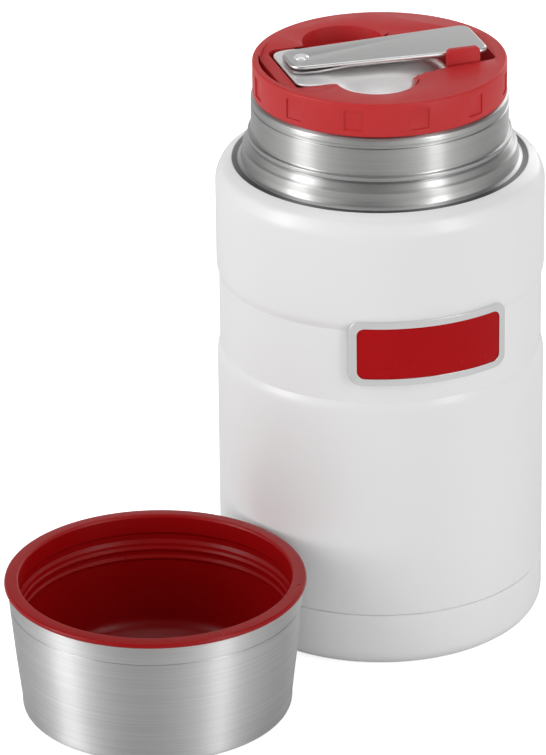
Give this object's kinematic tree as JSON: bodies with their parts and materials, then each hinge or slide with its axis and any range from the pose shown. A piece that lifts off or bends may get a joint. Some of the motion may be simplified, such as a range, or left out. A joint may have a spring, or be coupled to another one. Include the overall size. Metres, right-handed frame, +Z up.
{
  "type": "insulated food jar",
  "caption": "Double-walled food jar with a screw stopper that stows a folding spoon, and a steel cup with a plastic liner that serves as a bowl.",
  "frame": {"origin": "on the jar's axis, in the plane that the jar and the cup stand on", "axes": "+Z up along the jar's axis; the badge faces -Y; the stowed spoon's handle points along +X from its rivet"},
  "size_m": [0.1887, 0.1462, 0.1932],
  "materials": {
    "white_paint": "satin powder coat",
    "bare_steel": "turned and satin polished",
    "inner_steel": "electropolished",
    "foil": "bright foil",
    "base_rubber": "matt",
    "solder_glass": "fused bead",
    "getter_metal": "sintered",
    "badge_silver": "polished",
    "badge_red": "gloss",
    "red_plastic": "fine satin moulding",
    "foam": "closed-cell foam",
    "silicone": "translucent matt",
    "spoon_steel": "polished",
    "handle_steel": "satin",
    "cup_steel": "horizontally brushed",
    "liner_red": "semi-gloss moulding"
  },
  "bodies": {
    "jar": {"outer_shell": "white_paint", "base_pan": "white_paint", "base_pad": "base_rubber", "evacuation_seal": "solder_glass", "getter": "getter_metal", "neck_collar": "bare_steel", "inner_vessel": "inner_steel", "radiation_foil": "foil", "badge_bezel": "badge_silver", "badge_plate": "badge_red"},
    "stopper_core": {"stopper_foam": "foam", "stopper_gasket": "silicone"},
    "stopper": {"stopper_top": "red_plastic", "stopper_plug": "red_plastic", "plug_base": "red_plastic"},
    "spoon": {"spoon_bowl": "spoon_steel", "spoon_rivet": "spoon_steel", "spoon_washer": "spoon_steel"},
    "spoon_grip": {"spoon_handle": "handle_steel"},
    "cup": {"cup_shell": "cup_steel", "cup_liner": "liner_red"}
  },
  "joints": [
    {"name": "stopper_rise", "type": "slide", "parent": "jar", "child": "stopper_core", "axis": [0, 0, 1], "range_m": [0, 0.036]},
    {"name": "stopper_turn", "type": "hinge", "parent": "stopper_core", "child": "stopper", "pos_m": [0, 0, 0.18], "axis": [0, 0, 1], "range_deg": [0, 1080]},
    {"name": "spoon_lift", "type": "slide", "parent": "stopper", "child": "spoon", "axis": [0, 0, 1], "range_m": [0, 0.04]},
    {"name": "spoon_fold", "type": "hinge", "parent": "spoon", "child": "spoon_grip", "pos_m": [-0.0256, 0, 0.19], "axis": [0, 0, 1], "range_deg": [0, 180]},
    {"name": "cup_lift", "type": "slide", "parent": "jar", "child": "cup", "axis": [0, 0, 1], "range_m": [0, 0.12]}
  ],
  "couplings": [
    {"joint": "stopper_turn", "follows": "stopper_rise", "rad_per_m": 523.6}
  ]
}
